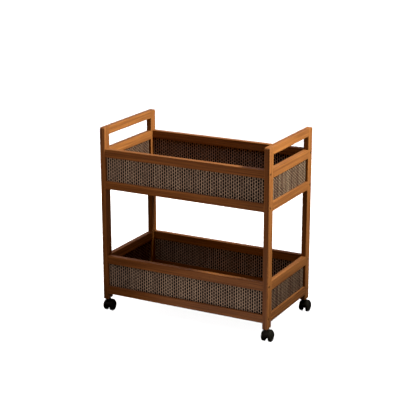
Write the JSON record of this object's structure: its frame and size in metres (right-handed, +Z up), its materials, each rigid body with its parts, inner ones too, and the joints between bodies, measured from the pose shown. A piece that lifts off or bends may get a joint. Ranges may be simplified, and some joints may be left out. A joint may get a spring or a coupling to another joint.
{
  "type": "rolling utility cart",
  "caption": "Two-tier rolling cart with a bamboo frame, woven panel sides, flat tray floors, end handles and swivel twin-wheel casters.",
  "frame": {"origin": "on the floor, under the middle of the cart and its casters, which trail 9 mm to the rear; the middle of the legs is 7 mm in front of it", "axes": "+X along the cart's length, to the right seen from the front; +Y across it, from front to rear; +Z up"},
  "size_m": [0.677, 0.3723, 0.693],
  "materials": {
    "bamboo_frame": "stained laminated bamboo, satin lacquer",
    "woven_panel": "taupe-brown woven rattan-look strand",
    "floor_board": "stained bamboo plywood, satin lacquer",
    "bolt_steel": "bronze-tone zinc plate",
    "insert_steel": "zinc plate",
    "caster_hood": "black moulded nylon, slight sheen",
    "caster_wheel": "black moulded nylon",
    "caster_steel": "black zinc plate"
  },
  "bodies": {
    "root": {"frame_bolts": "bolt_steel", "front_lower_bottom_long_rail": "bamboo_frame", "front_lower_panel": "woven_panel", "front_lower_top_long_rail": "bamboo_frame", "front_upper_bottom_long_rail": "bamboo_frame", "front_upper_panel": "woven_panel", "front_upper_top_long_rail": "bamboo_frame", "left_front_caster_stem": "caster_steel", "left_front_leg": "bamboo_frame", "left_handle_rail": "bamboo_frame", "left_lower_bottom_cross_rail": "bamboo_frame", "left_lower_panel": "woven_panel", "left_lower_top_cross_rail": "bamboo_frame", "left_rear_caster_stem": "caster_steel", "left_rear_leg": "bamboo_frame", "left_upper_bottom_cross_rail": "bamboo_frame", "left_upper_panel": "woven_panel", "left_upper_top_cross_rail": "bamboo_frame", "leg_inserts": "insert_steel", "lower_tray_floor": "floor_board", "rail_inserts": "insert_steel", "rear_lower_bottom_long_rail": "bamboo_frame", "rear_lower_panel": "woven_panel", "rear_lower_top_long_rail": "bamboo_frame", "rear_upper_bottom_long_rail": "bamboo_frame", "rear_upper_panel": "woven_panel", "rear_upper_top_long_rail": "bamboo_frame", "right_front_caster_stem": "caster_steel", "right_front_leg": "bamboo_frame", "right_handle_rail": "bamboo_frame", "right_lower_bottom_cross_rail": "bamboo_frame", "right_lower_panel": "woven_panel", "right_lower_top_cross_rail": "bamboo_frame", "right_rear_caster_stem": "caster_steel", "right_rear_leg": "bamboo_frame", "right_upper_bottom_cross_rail": "bamboo_frame", "right_upper_panel": "woven_panel", "right_upper_top_cross_rail": "bamboo_frame", "stem_snap_rings": "caster_steel", "upper_tray_floor": "floor_board"},
    "left_front_caster": {"left_front_caster_hood": "caster_hood", "left_front_caster_axle": "caster_steel"},
    "left_front_caster_left_wheel": {"left_front_caster_left_wheel": "caster_wheel"},
    "left_front_caster_right_wheel": {"left_front_caster_right_wheel": "caster_wheel"},
    "right_front_caster": {"right_front_caster_hood": "caster_hood", "right_front_caster_axle": "caster_steel"},
    "right_front_caster_left_wheel": {"right_front_caster_left_wheel": "caster_wheel"},
    "right_front_caster_right_wheel": {"right_front_caster_right_wheel": "caster_wheel"},
    "left_rear_caster": {"left_rear_caster_hood": "caster_hood", "left_rear_caster_axle": "caster_steel"},
    "left_rear_caster_left_wheel": {"left_rear_caster_left_wheel": "caster_wheel"},
    "left_rear_caster_right_wheel": {"left_rear_caster_right_wheel": "caster_wheel"},
    "right_rear_caster": {"right_rear_caster_hood": "caster_hood", "right_rear_caster_axle": "caster_steel"},
    "right_rear_caster_left_wheel": {"right_rear_caster_left_wheel": "caster_wheel"},
    "right_rear_caster_right_wheel": {"right_rear_caster_right_wheel": "caster_wheel"}
  },
  "joints": [
    {"name": "left_front_caster_swivel", "type": "hinge", "parent": "root", "child": "left_front_caster", "pos_m": [-0.3205, -0.1695, 0.0492], "axis": [0, 0, 1], "continuous": true},
    {"name": "left_front_caster_left_wheel_roll", "type": "hinge", "parent": "left_front_caster", "child": "left_front_caster_left_wheel", "pos_m": [-0.33375, -0.1605, 0.02], "axis": [1, 0, 0], "continuous": true},
    {"name": "left_front_caster_right_wheel_roll", "type": "hinge", "parent": "left_front_caster", "child": "left_front_caster_right_wheel", "pos_m": [-0.30725, -0.1605, 0.02], "axis": [1, 0, 0], "continuous": true},
    {"name": "right_front_caster_swivel", "type": "hinge", "parent": "root", "child": "right_front_caster", "pos_m": [0.3205, -0.1695, 0.0492], "axis": [0, 0, 1], "continuous": true},
    {"name": "right_front_caster_left_wheel_roll", "type": "hinge", "parent": "right_front_caster", "child": "right_front_caster_left_wheel", "pos_m": [0.30725, -0.1605, 0.02], "axis": [1, 0, 0], "continuous": true},
    {"name": "right_front_caster_right_wheel_roll", "type": "hinge", "parent": "right_front_caster", "child": "right_front_caster_right_wheel", "pos_m": [0.33375, -0.1605, 0.02], "axis": [1, 0, 0], "continuous": true},
    {"name": "left_rear_caster_swivel", "type": "hinge", "parent": "root", "child": "left_rear_caster", "pos_m": [-0.3205, 0.1555, 0.0492], "axis": [0, 0, 1], "continuous": true},
    {"name": "left_rear_caster_left_wheel_roll", "type": "hinge", "parent": "left_rear_caster", "child": "left_rear_caster_left_wheel", "pos_m": [-0.33375, 0.1645, 0.02], "axis": [1, 0, 0], "continuous": true},
    {"name": "left_rear_caster_right_wheel_roll", "type": "hinge", "parent": "left_rear_caster", "child": "left_rear_caster_right_wheel", "pos_m": [-0.30725, 0.1645, 0.02], "axis": [1, 0, 0], "continuous": true},
    {"name": "right_rear_caster_swivel", "type": "hinge", "parent": "root", "child": "right_rear_caster", "pos_m": [0.3205, 0.1555, 0.0492], "axis": [0, 0, 1], "continuous": true},
    {"name": "right_rear_caster_left_wheel_roll", "type": "hinge", "parent": "right_rear_caster", "child": "right_rear_caster_left_wheel", "pos_m": [0.30725, 0.1645, 0.02], "axis": [1, 0, 0], "continuous": true},
    {"name": "right_rear_caster_right_wheel_roll", "type": "hinge", "parent": "right_rear_caster", "child": "right_rear_caster_right_wheel", "pos_m": [0.33375, 0.1645, 0.02], "axis": [1, 0, 0], "continuous": true}
  ]
}
